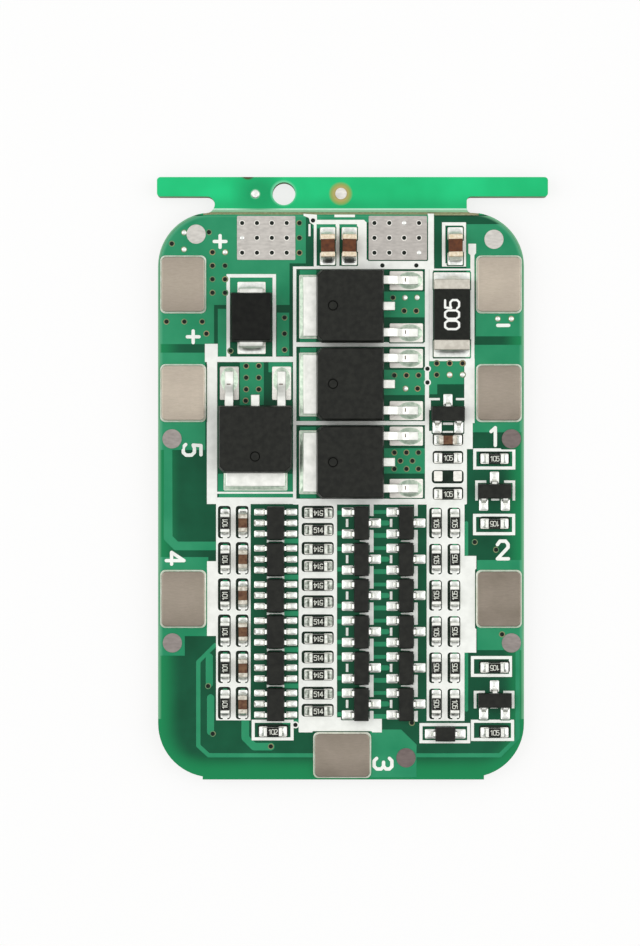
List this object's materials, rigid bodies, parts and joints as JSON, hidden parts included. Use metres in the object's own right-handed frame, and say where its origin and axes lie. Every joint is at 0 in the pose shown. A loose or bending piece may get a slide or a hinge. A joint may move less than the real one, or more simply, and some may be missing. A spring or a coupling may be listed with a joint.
{
  "type": "battery charging board",
  "caption": "Bare circuit board that guards a stack of cells while it charges, with power transistors, rows of small parts, nickel pads and a break-off rail.",
  "frame": {"origin": "middle of the board's underside, without the rail", "axes": "+Y towards the break-off rail along the long side, +Z out of the side that carries the parts, +X to the right"},
  "size_m": [0.0342, 0.0527, 0.0039],
  "materials": {
    "green_laminate": "glass-fibre laminate under green solder mask",
    "tinned_copper": "tin-dipped copper",
    "white_print": "screen-printed white ink",
    "nickel": "rolled nickel, satin",
    "tinned_leadframe": "bright tin plate",
    "moulded_case": "moulded black epoxy",
    "resistor_coat": "dark glaze over ceramic",
    "capacitor_ceramic": "fired brown ceramic"
  },
  "bodies": {
    "root": {"cell_1_capacitor": "capacitor_ceramic", "cell_1_first_transistor": "moulded_case", "cell_1_monitor": "moulded_case", "cell_1_resistors": "resistor_coat", "cell_1_second_transistor": "moulded_case", "cell_2_capacitor": "capacitor_ceramic", "cell_2_first_transistor": "moulded_case", "cell_2_monitor": "moulded_case", "cell_2_resistors": "resistor_coat", "cell_2_second_transistor": "moulded_case", "cell_3_capacitor": "capacitor_ceramic", "cell_3_first_transistor": "moulded_case", "cell_3_monitor": "moulded_case", "cell_3_resistors": "resistor_coat", "cell_3_second_transistor": "moulded_case", "cell_4_capacitor": "capacitor_ceramic", "cell_4_first_transistor": "moulded_case", "cell_4_monitor": "moulded_case", "cell_4_resistors": "resistor_coat", "cell_4_second_transistor": "moulded_case", "cell_5_capacitor": "capacitor_ceramic", "cell_5_first_transistor": "moulded_case", "cell_5_monitor": "moulded_case", "cell_5_resistors": "resistor_coat", "cell_5_second_transistor": "moulded_case", "cell_6_capacitor": "capacitor_ceramic", "cell_6_first_transistor": "moulded_case", "cell_6_monitor": "moulded_case", "cell_6_resistors": "resistor_coat", "cell_6_second_transistor": "moulded_case", "charge_fet_case": "moulded_case", "charge_fet_leadframe": "tinned_leadframe", "circuit_board": "green_laminate", "control_capacitor": "capacitor_ceramic", "control_transistor": "moulded_case", "discharge_fet_1_case": "moulded_case", "discharge_fet_1_leadframe": "tinned_leadframe", "discharge_fet_2_case": "moulded_case", "discharge_fet_2_leadframe": "tinned_leadframe", "discharge_fet_3_case": "moulded_case", "discharge_fet_3_leadframe": "tinned_leadframe", "legend_print": "white_print", "lone_resistors": "resistor_coat", "lower_bias_transistor": "moulded_case", "output_capacitor_minus": "capacitor_ceramic", "output_capacitor_plus": "capacitor_ceramic", "polarity_diode": "moulded_case", "sense_capacitor": "capacitor_ceramic", "shunt_caps": "tinned_leadframe", "shunt_element": "resistor_coat", "surge_diode": "moulded_case", "tab_cell_1": "nickel", "tab_cell_2": "nickel", "tab_cell_3": "nickel", "tab_cell_4": "nickel", "tab_cell_5": "nickel", "tab_pack_minus": "nickel", "tab_pack_plus": "nickel", "tinned_lands": "tinned_copper", "upper_bias_transistor": "moulded_case"}
  },
  "joints": []
}
